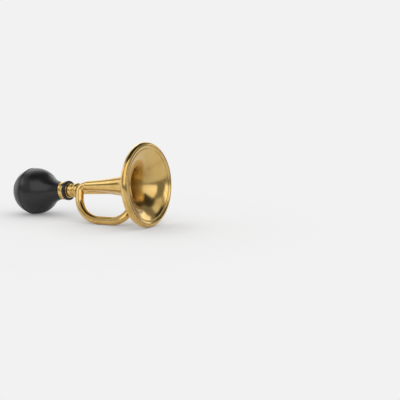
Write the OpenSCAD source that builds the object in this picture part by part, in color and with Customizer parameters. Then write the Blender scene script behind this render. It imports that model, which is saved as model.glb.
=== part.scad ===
// Bicycle bulb horn in polished brass: a spun bell, a folded tube, a reed and a rubber bulb.
// All sizes are in millimetres. The horn is drawn along its own axis, bell rim at the origin,
// and is then laid down on its bell, its folded tube and its bulb, the way it rests on a table.

/* [Bell] */
// Outside diameter over the rolled rim
bell_d = 90; // [80:1:100]
// Thickness of the roll round the bell's mouth
rim_roll_d = 7; // [5:0.5:8]
// Sheet thickness of the bell
bell_wall = 0.8; // [0.6:0.1:1.2]
// From the rim back to the end of the bell's tail
bell_len = 81; // [76:1:86]
// How fast the flare opens; a larger value keeps the throat wider
flare_power = 1; // [0.9:0.05:1.15]
// How far the rim's sheet is rolled round its wire, in degrees
rim_wrap = 235; // [200:5:250]
// Depth of the socket in the tail that takes the folded tube
tail_socket = 6; // [4:0.5:7]
// Length of the feathered edge at the tail's end
tail_taper = 1.5; // [1:0.5:2.5]

/* [Folded tube] */
// Outside diameter of the tube
tube_d = 9; // [8:0.5:9.5]
// Wall of the tube
tube_wall = 1; // [0.5:0.1:1.2]
// Bend radius where the flare turns down into the fold
bend_tail = 7; // [6:0.5:8]
// Bend radius at the lower corner under the tail
bend_left = 30; // [24:1:31]
// Bend radius at the lower corner under the bell
bend_right = 18; // [14:1:18]
// Bend radius behind the bell where the tube turns back
bend_back = 10.5; // [9:0.5:11]
// Bend radius of the lead pipe's slight sweep clear of the flare
bend_sweep = 40; // [30:5:50]
// From the rim back to the corner where the flare turns down
fold_back = 89; // [87:0.5:92]
// From the rim back to the lower corner under the tail
fold_low_back = 81; // [79:0.5:85]
// From the rim back to the upper corner behind the bell
fold_front = 26; // [24:0.5:30]
// From the rim back to the lower corner under the bell
fold_low_front = 24.5; // [23:0.5:28]
// Sideways place of the lower corner under the bell
fold_low_side = 5; // [3:0.5:8]
// How far the lower corner under the tail leans to the other side
fold_lean = 4.5; // [2:0.5:6]
// Sideways place of the upper corner behind the bell
fold_top_side = 16; // [15.5:0.5:18]
// Depth of that upper corner below the bell's axis
fold_top_drop = 6; // [5:0.5:7]
// Sideways distance from the bell's axis to the bulb's axis
lead_side = 12; // [11.5:0.5:13]
// Depth of the bulb's axis below the bell's axis
lead_drop = 2.5; // [1.5:0.5:4]
// From the rim back to where the lead pipe begins its sweep
sweep_back = 56; // [54:1:60]
// Length of the sleeves inside the tube's butt joints
sleeve_len = 8; // [6:1:12]
// Wall of those sleeves
sleeve_wall = 0.5; // [0.3:0.1:0.8]
// Length of each soldered saddle between the flare and the lead pipe
saddle_len = 7; // [4:1:9]
// Height of each saddle
saddle_w = 4; // [2:0.5:5]
// From the rim back to the middle of each saddle
saddle_back = [61, 72];

/* [Socket and coupling nut] */
// From the rim back to the bell side of the end bead
collar_back = 98.5; // [96:0.5:100]
// Length of the end bead
bead_len = 6; // [4:0.5:8]
// Diameter of the end bead
bead_d = 17; // [16:0.5:19]
// Wall of the hollow end bead
bead_wall = 0.7; // [0.5:0.1:1]
// Wall of the socket's tail inside the bead
socket_tail = 0.9; // [0.7:0.1:1.2]
// Length of the groove beside the bead
groove_len = 2; // [1.5:0.5:3]
// Diameter at the bottom of the groove
groove_d = 13.6; // [13.2:0.2:15]
// Length of the plain neck
neck_len = 5.5; // [5:0.5:8]
// Diameter of the plain neck
neck_d = 15.5; // [15:0.5:16.5]
// Diameter of the socket's thread
thread_d = 17; // [16.5:0.5:18]
// Pitch of that thread
thread_pitch = 1.5; // [1:0.25:2]
// How far the thread stops short of the nut's bell side
thread_short = 0.4; // [0.2:0.1:0.8]
// Length of the coupling nut
nut_len = 4.5; // [4:0.5:8]
// Diameter of the coupling nut
nut_d = 22; // [21:0.5:25]
// Thickness of the nut's inner lip
nut_lip = 0.7; // [0.6:0.1:1.2]
// Thickness of the sealing washer
washer_t = 0.5; // [0.4:0.1:1]
// Diameter of the bore that takes the reed block
reed_bore_d = 12.8; // [11:0.2:13]

/* [Reed] */
// Length of the reed block
block_len = 6.8; // [5:0.2:7]
// Outside diameter of the shallot, the tube that the reed beats on
shallot_d = 6.4; // [6:0.2:7]
// Bore of the shallot
shallot_bore = 3.4; // [3:0.2:3.6]
// Height of the shallot's flat face above its axis
shallot_flat = 2; // [1.8:0.1:2.1]
// How far the shallot reaches from the block into the bulb
shallot_reach = 24; // [20:1:26]
// Width of the slot in the shallot's face
slot_w = 2.4; // [1.6:0.2:2.6]
// Length of that slot
slot_len = 17; // [12:1:18]
// Thickness of the reed tongue
tongue_t = 0.4; // [0.3:0.05:0.5]
// Width of the reed tongue
tongue_w = 3.8; // [3:0.1:3.9]
// Length of the tongue's free part
tongue_len = 22; // [18:1:23]
// Angle at which the tongue stands open, in degrees
tongue_open = 2; // [1.5:0.25:3]
// Length of the tongue's root inside the block
tongue_root = 1.8; // [1:0.2:2]

/* [Bulb] */
// Diameter of the rubber bulb
bulb_d = 53; // [50:1:56]
// Wall of the rubber bulb
bulb_wall = 3; // [2:0.5:4]
// From the ferrule back to the middle of the bulb
bulb_behind = 38; // [36:0.5:40]
// From the middle of the bulb back to its moulding seam
seam_behind = 3.5; // [2:0.5:6]
// Thickness of the raised moulding seam
seam_d = 1.2; // [0.8:0.2:2]
// How far the seam stands proud of the bulb
seam_proud = 0.25; // [0.2:0.05:0.5]
// Radius of the hollow curve between the bulb and its neck
neck_curve = 40; // [30:5:60]
// Diameter of the rubber where it meets the ferrule
bulb_neck_d = 19.4; // [19:0.2:20.4]
// Length of the crimped ferrule
ferrule_len = 6.7; // [5:0.1:8]
// Largest diameter of the ferrule
ferrule_d = 20.8; // [20.4:0.2:22]
// Wall of the ferrule at its ends
ferrule_wall = 0.6; // [0.4:0.1:0.8]
// Outside diameter of the stem inside the bulb's neck
stem_d = 14; // [13.6:0.2:14.4]
// Bore of the stem
stem_bore = 12.8; // [11.6:0.2:13]
// How far the stem reaches into the bulb behind the ferrule
stem_reach = 8; // [5:0.5:10]
// Thickness of the stem's flange
flange_t = 0.7; // [0.6:0.1:1.2]
// Height of the barbs on the stem
barb_h = 0.35; // [0.2:0.05:0.5]
// Length of each barb
barb_len = 2.5; // [1.5:0.5:3]

/* [Rest] */
// How far the horn has rolled onto its folded tube, in degrees
rest_roll = 17.5; // [14:0.5:19]

/* [Hidden] */
$fn = 96;

// Clearances
fit = 0.05;        // pieces that seat in or on one another
axial_gap = 0.1;   // between a turning face and a still one
free_gap = 0.3;    // between pieces that only pass each other
tongue_fit = 0.08; // each side of the tongue's root

brass = "#C9A458";
brass_dark = "#A47C3A";
rubber_grey = "#333333";
black_plastic = "#1B1B1B";

// Bell: the inner face follows r = k / u^p, where u is the distance to a point just past the
// mouth, and runs tangent into the rolled rim at the angle lip_a.
rim_r = rim_roll_d / 2;
rim_centre_r = bell_d / 2 - rim_r;
tail_r = tube_d / 2 + fit;
function lip_r(a) = rim_centre_r - rim_r * sin(a);
function lip_len(a) = bell_len + rim_r * cos(a);
function lip_u(a) = lip_len(a) / (pow(lip_r(a) / tail_r, 1 / flare_power) - 1);
function lip_angle(a, n) = n == 0 ? a : lip_angle(atan(lip_u(a) / (flare_power * lip_r(a))), n - 1);
lip_a = lip_angle(15, 8);
mouth_u = lip_u(lip_a);
tail_u = mouth_u + lip_len(lip_a);
flare_steps = 36;
rim_steps = 24;
function flare_u(i) = tail_u * pow(mouth_u / tail_u, i / flare_steps);
function u_to_x(u) = rim_r * cos(lip_a) + mouth_u - u;
function flare_r(u) = lip_r(lip_a) * pow(mouth_u / u, flare_power);
function flare_slope(u) = atan(flare_power * flare_r(u) / u);
function inner_point(u) = [flare_r(u), u_to_x(u)];
function outer_point(u) = [flare_r(u) + bell_wall * cos(flare_slope(u)),
                           u_to_x(u) - bell_wall * sin(flare_slope(u))];
// Outside radius of the flare at a distance behind the rim
function flare_outer(x) = flare_r(u_to_x(x)) + bell_wall;
function roll_point(r, a) = [rim_centre_r + r * sin(a), r * cos(a)];
function roll_turn(i) = -lip_a + (rim_wrap + lip_a) * i / rim_steps;

// Places along the bulb's axis, counted from the rim and negative towards the bulb
bead_x = -collar_back - bead_len;
groove_x = bead_x - groove_len;
nut_x = groove_x - neck_len;
nut_back_x = nut_x - nut_len;
flange_back_x = nut_back_x + nut_lip + axial_gap / 2;
flange_x = flange_back_x + flange_t;
mouth_x = flange_x + axial_gap + washer_t;
block_x = mouth_x + block_len;
pipe_end_x = groove_x + 0.5 * (groove_len - 1);
socket_tail_r = tube_d / 2 + fit + socket_tail;
ferrule_x = nut_back_x - free_gap;
ferrule_back_x = ferrule_x - ferrule_len;
rubber_end_x = ferrule_x - 0.2;
bulb_x = ferrule_back_x - bulb_behind;
stem_back_x = ferrule_back_x - stem_reach;
seam_x = bulb_x - seam_behind;
face_x = mouth_x;

// Rolled onto its side, the bulb's axis lies here in the horn's own frame
bulb_side = lead_side * cos(rest_roll) - lead_drop * sin(rest_roll);
bulb_low = lead_side * sin(rest_roll) + lead_drop * cos(rest_roll);
seam_ring_r = bulb_d / 2 + seam_proud - seam_d / 2;
seam_ring_x = seam_x - fit - seam_d / 2;

// Tilt at which the rim's roll and the bulb's seam both touch the table
lean_a = rim_centre_r - bulb_low - seam_ring_r;
lean_b = seam_ring_x;
lean_c = seam_d / 2 - rim_r;
tilt = atan2(lean_b, lean_a) + acos(lean_c / norm([lean_a, lean_b]));
rim_height = rim_centre_r * cos(tilt) + rim_r;
front_x = rim_centre_r * sin(tilt) + rim_r;
rear_x = bulb_x * cos(tilt) + bulb_low * sin(tilt) - bulb_d / 2;
mid_x = (front_x + rear_x) / 2;

// The folded tube runs from corner to corner. The two lower corners lie where the
// tube rests on the table.
tube_r = tube_d / 2;
tube_bore_r = tube_r - tube_wall;
tube_sides = 24;
function table_z(x, y) = ((tube_r - rim_height - x * sin(tilt)) / cos(tilt)
                          + y * sin(rest_roll)) / cos(rest_roll);
pipe_end = [pipe_end_x, lead_side, -lead_drop];
sweep_corner = [-sweep_back, lead_side, -lead_drop];
back_corner = [-fold_front, fold_top_side, -fold_top_drop];
right_corner = [-fold_low_front, fold_low_side, table_z(-fold_low_front, fold_low_side)];
left_corner = [-fold_low_back, -fold_lean, table_z(-fold_low_back, -fold_lean)];
tail_corner = [-fold_back, 0, 0];
tail_end = [-bell_len + tail_socket, 0, 0];

function unit(v) = v / norm(v);
function turn_of(a, b, c) = acos(unit(b - a) * unit(c - b));
function setback(a, b, c, r) = r * tan(turn_of(a, b, c) / 2);
function bend_in(a, b, c, r) = b - unit(b - a) * setback(a, b, c, r);
function bend_out(a, b, c, r) = b + unit(c - b) * setback(a, b, c, r);
function bend_centre(a, b, c, r) = bend_in(a, b, c, r)
    + unit(unit(c - b) - unit(b - a) * (unit(c - b) * unit(b - a))) * r;

sweep_out = bend_out(pipe_end, sweep_corner, back_corner, bend_sweep);
back_in = bend_in(sweep_corner, back_corner, right_corner, bend_back);
right_out = bend_out(back_corner, right_corner, left_corner, bend_right);
left_in = bend_in(right_corner, left_corner, tail_corner, bend_left);
lead_joint = (sweep_out + back_in) / 2;
bow_joint = (right_out + left_in) / 2;

// Lays the finished horn on the table, with the middle of its length over the origin
module at_rest() {
    translate([-mid_x, 0, rim_height])
        rotate([0, -tilt, 0])
            rotate([-rest_roll, 0, 0])
                children();
}

// Turns a profile of [radius, place] points round the bell's axis
module turned(points) {
    rotate([0, 90, 0])
        rotate_extrude()
            polygon(points);
}

// Moves what it holds onto the bulb's axis
module on_lead() {
    translate([0, lead_side, -lead_drop])
        children();
}

// A round bar along the axis between two places
module bar(from_x, to_x, r) {
    translate([from_x, 0, 0])
        rotate([0, 90, 0])
            cylinder(h = to_x - from_x, r = r);
}

// Puts the X, Y and Z directions of what it holds along u, v and w, at p
module in_frame(p, u, v, w) {
    multmatrix([[u.x, v.x, w.x, p.x],
                [u.y, v.y, w.y, p.y],
                [u.z, v.z, w.z, p.z],
                [0, 0, 0, 1]])
        children();
}

function side_of(d) = unit(cross(d, abs(d.z) < 0.9 ? [0, 0, 1] : [1, 0, 0]));

module straight(p, q, outer_r, inner_r) {
    d = unit(q - p);
    s = side_of(d);
    in_frame(p, s, cross(d, s), d)
        difference() {
            cylinder(h = norm(q - p), r = outer_r);
            translate([0, 0, -1])
                cylinder(h = norm(q - p) + 2, r = inner_r);
        }
}

// Stations along a bend, each with the direction in which the tube runs there
function bend_line(a, b, c, r, step) =
    let (m = bend_centre(a, b, c, r),
         u = unit(bend_in(a, b, c, r) - m),
         v = unit(b - a),
         turn = turn_of(a, b, c),
         n = ceil(turn / step))
    [for (i = [0:n])
        let (t = turn * i / n)
        [m + r * (cos(t) * u + sin(t) * v), cos(t) * v - sin(t) * u]];

function ring(station, r) =
    let (d = station[1], s = unit(cross(d, [0, 1, 0])), t = cross(d, s))
    [for (j = [0:tube_sides - 1])
        station[0] + r * (cos(360 * j / tube_sides) * s + sin(360 * j / tube_sides) * t)];

// A hollow tube through the stations; its bore is measured across the flats
module bent_tube(line) {
    n = tube_sides;
    m = len(line);
    bore_r = tube_bore_r / cos(180 / n);
    points = concat([for (k = line) each ring(k, tube_r)], [for (k = line) each ring(k, bore_r)]);
    function out(k, j) = k * n + j % n;
    function in(k, j) = (m + k) * n + j % n;
    polyhedron(points, concat(
        [for (k = [0:m - 2]) for (j = [0:n - 1])
            [out(k, j), out(k + 1, j), out(k + 1, j + 1), out(k, j + 1)]],
        [for (k = [0:m - 2]) for (j = [0:n - 1])
            [in(k, j), in(k, j + 1), in(k + 1, j + 1), in(k + 1, j)]],
        [for (j = [0:n - 1]) [out(0, j), out(0, j + 1), in(0, j + 1), in(0, j)]],
        [for (j = [0:n - 1])
            [out(m - 1, j + 1), out(m - 1, j), in(m - 1, j), in(m - 1, j + 1)]]));
}

// Spun bell: flare, tail socket and the sheet rolled round the rim wire
module bell() {
    inner = [for (i = [0:flare_steps]) inner_point(flare_u(i))];
    outer = [for (i = [flare_steps:-1:1]) outer_point(flare_u(i))];
    roll_out = [for (i = [1:rim_steps]) roll_point(rim_r, roll_turn(i))];
    roll_in = [for (i = [rim_steps:-1:1]) roll_point(rim_r - bell_wall, roll_turn(i))];
    socket_u = tail_u - tail_socket;
    throat = [for (p = inner) if (p.y > -bell_len + tail_socket) p];
    tail = [for (p = outer) if (p.y > -bell_len + tail_taper) p];
    color(brass)
        at_rest()
            turned(concat([[tail_r, -bell_len], [tail_r, -bell_len + tail_socket],
                           inner_point(socket_u)],
                          throat, roll_out, roll_in, tail,
                          [[tail_r + bell_wall / 4, -bell_len]]));
}

// Steel wire that the rim's sheet is rolled round
module rim_wire() {
    color("#8C8C88")
        at_rest()
            rotate([0, 90, 0])
                rotate_extrude()
                    translate([rim_centre_r, 0])
                        circle(r = rim_r - bell_wall - fit);
}

// Tube from the tail's socket down and round to the joint under the horn
module left_bow() {
    color(brass)
        at_rest()
            bent_tube(concat([[bow_joint, unit(left_corner - right_corner)]],
                             bend_line(right_corner, left_corner, tail_corner, bend_left, 6),
                             bend_line(left_corner, tail_corner, tail_end, bend_tail, 12),
                             [[tail_end - [fit, 0, 0], [1, 0, 0]]]));
}

// Tube from the joint under the horn up behind the bell and back to the lead pipe
module right_bow() {
    color(brass)
        at_rest()
            bent_tube(concat([[lead_joint, unit(back_corner - sweep_corner)]],
                             bend_line(sweep_corner, back_corner, right_corner, bend_back, 9),
                             bend_line(back_corner, right_corner, left_corner, bend_right, 8),
                             [[bow_joint, unit(left_corner - right_corner)]]));
}

// Nearly straight tube from the reed socket along the flare
module lead_pipe() {
    color(brass_dark)
        at_rest()
            bent_tube(concat([[pipe_end + [fit, 0, 0], [1, 0, 0]]],
                             bend_line(pipe_end, sweep_corner, back_corner, bend_sweep, 4),
                             [[lead_joint, unit(back_corner - sweep_corner)]]));
}

// Sleeve inside a butt joint of the tube
module joint_sleeve(joint, towards) {
    d = unit(towards - joint) * sleeve_len / 2;
    sleeve_r = tube_bore_r - fit;
    straight(joint - d, joint + d, sleeve_r, sleeve_r - sleeve_wall);
}

module bow_sleeve() {
    color(brass_dark)
        at_rest()
            joint_sleeve(bow_joint, left_corner);
}

module lead_sleeve() {
    color(brass_dark)
        at_rest()
            joint_sleeve(lead_joint, back_corner);
}

// Two solder saddles that hold the lead pipe to the flare
module solder_saddles() {
    span = norm([lead_side, lead_drop]);
    color("#9A9A94")
        at_rest()
            difference() {
                for (back = saddle_back)
                    rotate([atan2(-lead_drop, lead_side), 0, 0])
                        translate([-back - saddle_len / 2, 0, -saddle_w / 2])
                            cube([saddle_len, span, saddle_w]);
                for (back = saddle_back)
                    turned([[0, -back - saddle_len],
                            [flare_outer(-back - saddle_len), -back - saddle_len],
                            [flare_outer(-back), -back],
                            [flare_outer(-back + saddle_len), -back + saddle_len],
                            [0, -back + saddle_len]]);
                on_lead()
                    bar(-bell_len - saddle_len, -sweep_back + saddle_len, tube_r);
            }
}

// The bead's round crown, less a wall, from its bulb side to its bell side
function bead_crown(wall) = [for (i = [0:12])
    [bead_d / 2 - (bead_d - groove_d) / 2 * (1 - sqrt(max(0, 1 - pow(i / 6 - 1, 2)))) - wall,
     bead_x + wall + (bead_len - 2 * wall) * i / 12]];

// Hollow brass ring that closes the socket's bell end
module end_bead() {
    seat_r = socket_tail_r + fit;
    crown = bead_crown(bead_wall);
    color(brass)
        at_rest()
            on_lead()
                turned(concat([[seat_r, bead_x]], bead_crown(0),
                              [[seat_r, bead_x + bead_len], [seat_r, crown[12].y]],
                              [for (i = [12:-1:0]) crown[i]],
                              [[seat_r, crown[0].y]]));
}

// Turned brass socket: thread, neck and groove outside, reed bore and pipe seat inside
module reed_socket() {
    soft = 0.4;
    thread_x = nut_x - thread_short;
    turns = floor((thread_x - mouth_x - soft) / thread_pitch);
    thread = [for (i = [0:turns - 1])
        let (x = mouth_x + soft + i * thread_pitch)
        each [[thread_d / 2, x],
              [thread_d / 2 - 0.3 * thread_pitch, x + 0.5 * thread_pitch]]];
    color(brass)
        at_rest()
            on_lead()
                turned(concat([[reed_bore_d / 2 + fit, mouth_x],
                               [thread_d / 2 - soft, mouth_x]],
                              thread,
                              [[thread_d / 2, mouth_x + soft + turns * thread_pitch],
                               [thread_d / 2, thread_x],
                               [neck_d / 2, thread_x],
                               [neck_d / 2, groove_x - soft],
                               [neck_d / 2 - soft, groove_x],
                               [groove_d / 2, groove_x],
                               [groove_d / 2, bead_x],
                               [socket_tail_r, bead_x],
                               [socket_tail_r, bead_x + bead_len - soft],
                               [tube_r + fit, bead_x + bead_len - soft],
                               [tube_r + fit, pipe_end_x],
                               [tube_bore_r, pipe_end_x],
                               [reed_bore_d / 2 - 1, block_x + fit],
                               [reed_bore_d / 2 + fit, block_x + fit]]));
}

// Black plastic plug in the socket's mouth that carries the reed
module reed_block() {
    color(black_plastic)
        at_rest()
            on_lead()
                difference() {
                    bar(mouth_x, block_x, reed_bore_d / 2);
                    bar(mouth_x - 1, block_x + 1, shallot_d / 2 + fit);
                }
}

// Half-flat brass tube that the tongue beats on, with a closed tip and a slot in its face
module shallot() {
    tip_x = face_x - shallot_reach;
    end_wall = 1;
    color(brass_dark)
        at_rest()
            on_lead()
                difference() {
                    bar(tip_x, block_x, shallot_d / 2);
                    bar(tip_x + end_wall, block_x + 1, shallot_bore / 2);
                    translate([tip_x - 1, -shallot_d, shallot_flat])
                        cube([block_x - tip_x + 2, 2 * shallot_d, shallot_d]);
                    translate([tip_x + end_wall + shallot_bore / 2, -slot_w / 2, 0])
                        cube([slot_len, slot_w, shallot_d]);
                }
}

wedge_z = shallot_flat + tongue_t + 2 * tongue_fit;

// Brass wedge that holds the tongue's root in the block
module reed_wedge() {
    color(brass)
        at_rest()
            on_lead()
                intersection() {
                    bar(mouth_x, block_x, shallot_d / 2);
                    translate([mouth_x - 1, -shallot_d, wedge_z])
                        cube([block_len + 2, 2 * shallot_d, shallot_d]);
                }
}

// Springy brass strip that sounds the note
module reed_tongue() {
    z = shallot_flat + tongue_fit;
    rise = tan(tongue_open) * tongue_len;
    color("#E0C070")
        at_rest()
            on_lead()
                translate([0, tongue_w / 2, 0])
                    rotate([90, 0, 0])
                        linear_extrude(height = tongue_w)
                            polygon([[face_x + tongue_root, z],
                                     [face_x, z],
                                     [face_x - tongue_len, z + rise],
                                     [face_x - tongue_len, z + rise + tongue_t],
                                     [face_x, z + tongue_t],
                                     [face_x + tongue_root, z + tongue_t]]);
}

// Rubber washer between the socket's mouth and the stem's flange
module sealing_washer() {
    color(black_plastic)
        at_rest()
            on_lead()
                difference() {
                    bar(mouth_x - washer_t, mouth_x, thread_d / 2 - free_gap);
                    bar(mouth_x - washer_t - 1, mouth_x + 1, stem_bore / 2);
                }
}

// Black coupling nut that draws the bulb's stem up to the socket
module coupling_nut() {
    soft = 0.8;
    color(black_plastic)
        at_rest()
            on_lead()
                turned([[stem_d / 2 + free_gap, nut_back_x],
                        [nut_d / 2 - soft, nut_back_x],
                        [nut_d / 2, nut_back_x + soft],
                        [nut_d / 2, nut_x - soft],
                        [nut_d / 2 - soft, nut_x],
                        [thread_d / 2 + fit, nut_x],
                        [thread_d / 2 + fit, nut_back_x + nut_lip],
                        [stem_d / 2 + free_gap, nut_back_x + nut_lip]]);
}

// The barbs' outline, shared by the stem and the rubber that grips it
barb_x = [for (i = [0:1]) ferrule_back_x - 1 + i * 1.6 * barb_len];
function barb_line(r) = [for (x = barb_x) each [[r, x - barb_len], [r + barb_h, x], [r, x]]];

// Brass stem with a flange at one end and barbs in the rubber neck
module bulb_stem() {
    r = stem_d / 2;
    color(brass_dark)
        at_rest()
            on_lead()
                turned(concat([[stem_bore / 2, stem_back_x], [r, stem_back_x]],
                              barb_line(r),
                              [[r, flange_back_x],
                               [thread_d / 2 - free_gap, flange_back_x],
                               [thread_d / 2 - free_gap, flange_x],
                               [stem_bore / 2, flange_x]]));
}

// The ferrule's crown, shared by the ring and the rubber pressed into it
function crown_point(i, inset) =
    let (edge_r = bulb_neck_d / 2 - ferrule_wall)
    [edge_r + (ferrule_d / 2 - edge_r) * pow(sin(15 * i), 0.5) - inset,
     ferrule_back_x + ferrule_len * i / 12];

// Thin brass ring crimped round the rubber neck
module bulb_ferrule() {
    color(brass)
        at_rest()
            on_lead()
                turned(concat([for (i = [0:12]) crown_point(i, 0)],
                              [for (i = [12:-1:0]) crown_point(i, ferrule_wall)]));
}

// Rubber from the moulding seam to the neck
module bulb_front() {
    r_out = bulb_d / 2;
    r_in = r_out - bulb_wall;
    neck = [bulb_neck_d / 2, ferrule_back_x - bulb_x - fit];
    bore = [stem_d / 2 + fit, stem_back_x - bulb_x];
    reach = r_out + neck_curve;
    out_a = atan2(neck.x, neck.y) + acos((pow(reach, 2) + pow(norm(neck), 2) - pow(neck_curve, 2))
                                         / (2 * reach * norm(neck)));
    hollow = reach * [sin(out_a), cos(out_a)];
    end_a = atan2(hollow.x - neck.x, hollow.y - neck.y);
    in_a = atan2(bore.x, bore.y) + acos(r_in / norm(bore));
    seam_out = acos(-seam_behind / r_out);
    seam_in = acos(-seam_behind / r_in);
    steps = 20;
    outside = [for (i = [0:steps])
        let (a = seam_out + (out_a - seam_out) * i / steps)
        [r_out * sin(a), bulb_x + r_out * cos(a)]];
    shoulder = [for (i = [1:steps - 1])
        let (a = out_a + (end_a - out_a) * i / steps)
        [hollow.x - neck_curve * sin(a), bulb_x + hollow.y - neck_curve * cos(a)]];
    inside = [for (i = [0:steps])
        let (a = in_a + (seam_in - in_a) * i / steps)
        [r_in * sin(a), bulb_x + r_in * cos(a)]];
    grip = barb_line(stem_d / 2 + fit);
    color(rubber_grey)
        at_rest()
            on_lead()
                turned(concat(outside, shoulder,
                              [[neck.x, bulb_x + neck.y],
                               [crown_point(0, ferrule_wall + fit).x, bulb_x + neck.y]],
                              [for (i = [0:11]) crown_point(i, ferrule_wall + fit)],
                              [[crown_point(0, ferrule_wall + fit).x, rubber_end_x],
                               [stem_d / 2 + fit, rubber_end_x]],
                              [for (i = [len(grip) - 1:-1:0]) grip[i]],
                              [[bore.x, bulb_x + bore.y]],
                              inside));
}

// Rubber behind the seam, which the hand pushes in, with the raised seam round its edge
module bulb_rear() {
    r_out = bulb_d / 2;
    r_in = r_out - bulb_wall;
    edge_x = seam_x - fit;
    seam_r = seam_d / 2;
    out_a = acos((seam_ring_x - seam_r - bulb_x) / r_out);
    in_a = acos((edge_x - bulb_x) / r_in);
    steps = 24;
    seam = [for (b = [0:17:170]) [seam_ring_r + seam_r * sin(b), seam_ring_x + seam_r * cos(b)]];
    outside = [for (i = [0:steps])
        let (a = out_a + (180 - out_a) * i / steps)
        [r_out * sin(a), bulb_x + r_out * cos(a)]];
    inside = [for (i = [0:steps])
        let (a = 180 + (in_a - 180) * i / steps)
        [r_in * sin(a), bulb_x + r_in * cos(a)]];
    color(rubber_grey)
        at_rest()
            on_lead()
                turned(concat(seam, outside, inside));
}

bell();
rim_wire();
left_bow();
right_bow();
lead_pipe();
bow_sleeve();
lead_sleeve();
solder_saddles();
end_bead();
reed_socket();
reed_block();
shallot();
reed_wedge();
reed_tongue();
sealing_washer();
coupling_nut();
bulb_stem();
bulb_ferrule();
bulb_front();
bulb_rear();
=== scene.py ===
"""Bicycle bulb horn in polished brass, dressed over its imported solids.

Every shape is worked out in the horn's own frame, in millimetres, with the bell's rim at the
origin and the bell's axis along X. `RestPose` then lays it on the table, as its solids lie.
"""
from __future__ import annotations

import logging
import math
from dataclasses import dataclass, field
from enum import Enum

import bpy
import numpy as np
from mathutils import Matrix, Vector


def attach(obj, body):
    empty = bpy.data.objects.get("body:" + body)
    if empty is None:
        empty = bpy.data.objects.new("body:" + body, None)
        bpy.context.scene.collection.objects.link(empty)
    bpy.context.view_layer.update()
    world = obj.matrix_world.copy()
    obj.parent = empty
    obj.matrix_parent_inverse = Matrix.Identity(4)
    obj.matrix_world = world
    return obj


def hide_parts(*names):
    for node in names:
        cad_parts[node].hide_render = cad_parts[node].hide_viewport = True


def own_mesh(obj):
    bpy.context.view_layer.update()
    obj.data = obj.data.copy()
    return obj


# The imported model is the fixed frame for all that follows
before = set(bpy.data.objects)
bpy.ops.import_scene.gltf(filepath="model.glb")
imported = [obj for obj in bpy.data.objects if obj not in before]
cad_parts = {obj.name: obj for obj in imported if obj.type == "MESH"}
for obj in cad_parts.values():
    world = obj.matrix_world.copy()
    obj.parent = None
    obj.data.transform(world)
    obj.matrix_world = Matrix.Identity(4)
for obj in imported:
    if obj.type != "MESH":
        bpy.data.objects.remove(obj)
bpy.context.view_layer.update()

Array = np.ndarray
# A line of stations: its places and the ways that it runs there, each shaped (n, 3)
Line = tuple[Array, Array]
# A colour in linear light, with its alpha
Colour = tuple[float, float, float, float]
LOG = logging.getLogger("bulb_horn")
# Clearance of pieces that sit in each other and of pieces that move past each other, in mm
FIT = 0.05
FREE = 0.3
# Metres in a millimetre
MM = 0.001
# Settings of a Map Range node that eases, and of a Mix node that blends colours
SMOOTH_STEP = {"interpolation_type": "SMOOTHSTEP"}
OF_COLOURS = {"data_type": "RGBA"}


class Body(Enum):
    """The bodies that the new pieces ride on."""

    HORN = "horn"
    BULB_UNIT = "bulb_unit"
    NUT = "nut"
    BULB_BACK = "bulb_back"


class Slot(Enum):
    """The record's material slots, named for the new pieces."""

    BRASS = "brass"
    PLASTIC = "black_plastic"
    RUBBER = "rubber"


# Sizes


@dataclass(frozen=True)
class BellSizes:
    """The spun bell, in millimetres.

    Attributes:
        diameter: outside diameter over the rolled rim.
        roll_d: thickness of the roll round the mouth.
        wall: thickness of the sheet.
        length: from the rim back to the end of the tail.
        socket: depth of the socket in the tail that takes the folded tube.
        taper: length of the feathered edge at the tail's end.
        wrap: how far the sheet is rolled round its wire, in radians.
        groove_in: from the lip to the middle of the groove, the fine crease that the spinner
            leaves where the flare meets the roll.
        groove_half: from that middle to where the groove is a third as deep.
        groove_depth: depth of the groove.
    """

    diameter: float = 90.0
    roll_d: float = 7.0
    wall: float = 0.8
    length: float = 81.0
    socket: float = 6.0
    taper: float = 1.5
    wrap: float = math.radians(235)
    groove_in: float = 2.4
    groove_half: float = 0.6
    groove_depth: float = 0.38

    @property
    def roll_r(self) -> float:
        """Radius of the roll round the mouth."""
        return self.roll_d / 2

    @property
    def ring_r(self) -> float:
        """Radius of the circle that the roll's centre runs on."""
        return self.diameter / 2 - self.roll_r


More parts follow.
